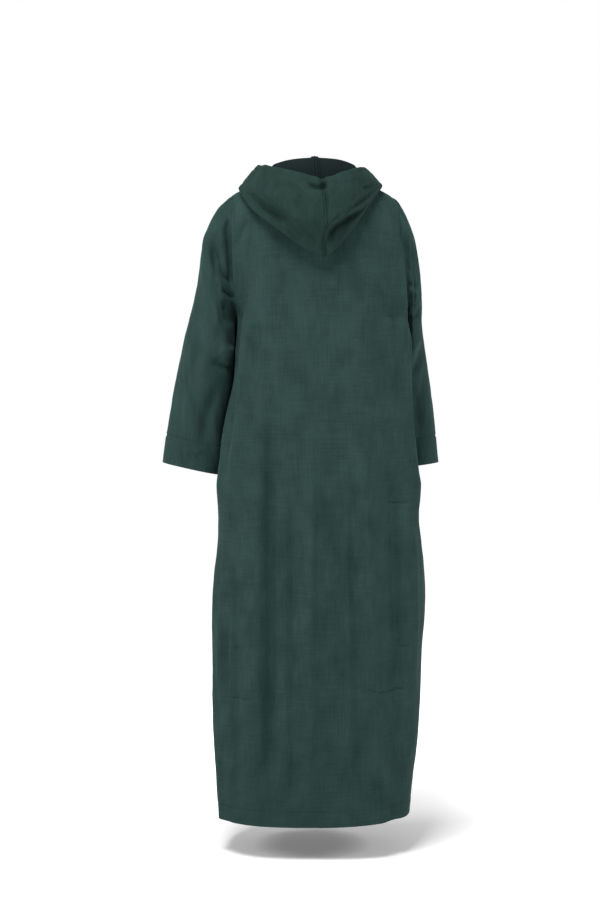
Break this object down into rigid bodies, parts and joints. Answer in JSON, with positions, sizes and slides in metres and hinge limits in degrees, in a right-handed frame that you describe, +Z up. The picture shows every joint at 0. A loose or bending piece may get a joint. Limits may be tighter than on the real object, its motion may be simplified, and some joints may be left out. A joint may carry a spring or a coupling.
{
  "type": "hooded thobe",
  "caption": "Ankle-length robe with long straight sleeves and a lowered hood, hollow and open at the neck, cuffs and hem, in the form it has when worn.",
  "frame": {"origin": "level with the shoulders, on the axis between the side seams, where the wearer's shoulders carry the garment", "axes": "+Z up along the garment's length, -Y towards the wearer's front, +X towards the wearer's left"},
  "size_m": [0.6441, 0.3907, 1.5035],
  "materials": {
    "velvet": "brushed dark green velvet with fine lengthwise ribs and a soft sheen",
    "velvet_hood": "brushed dark green velvet, the same cloth as the body, catching more light"
  },
  "bodies": {
    "root": {"back_skirt": "velvet", "back_bodice_left": "velvet", "back_bodice_right": "velvet", "front_skirt": "velvet", "front_bodice_left": "velvet", "front_bodice_right": "velvet", "left_sleeve_upper": "velvet", "left_sleeve_lower": "velvet", "right_sleeve_upper": "velvet", "right_sleeve_middle": "velvet", "right_sleeve_lower": "velvet", "hood_left_half": "velvet_hood", "hood_right_half": "velvet_hood"}
  },
  "joints": []
}
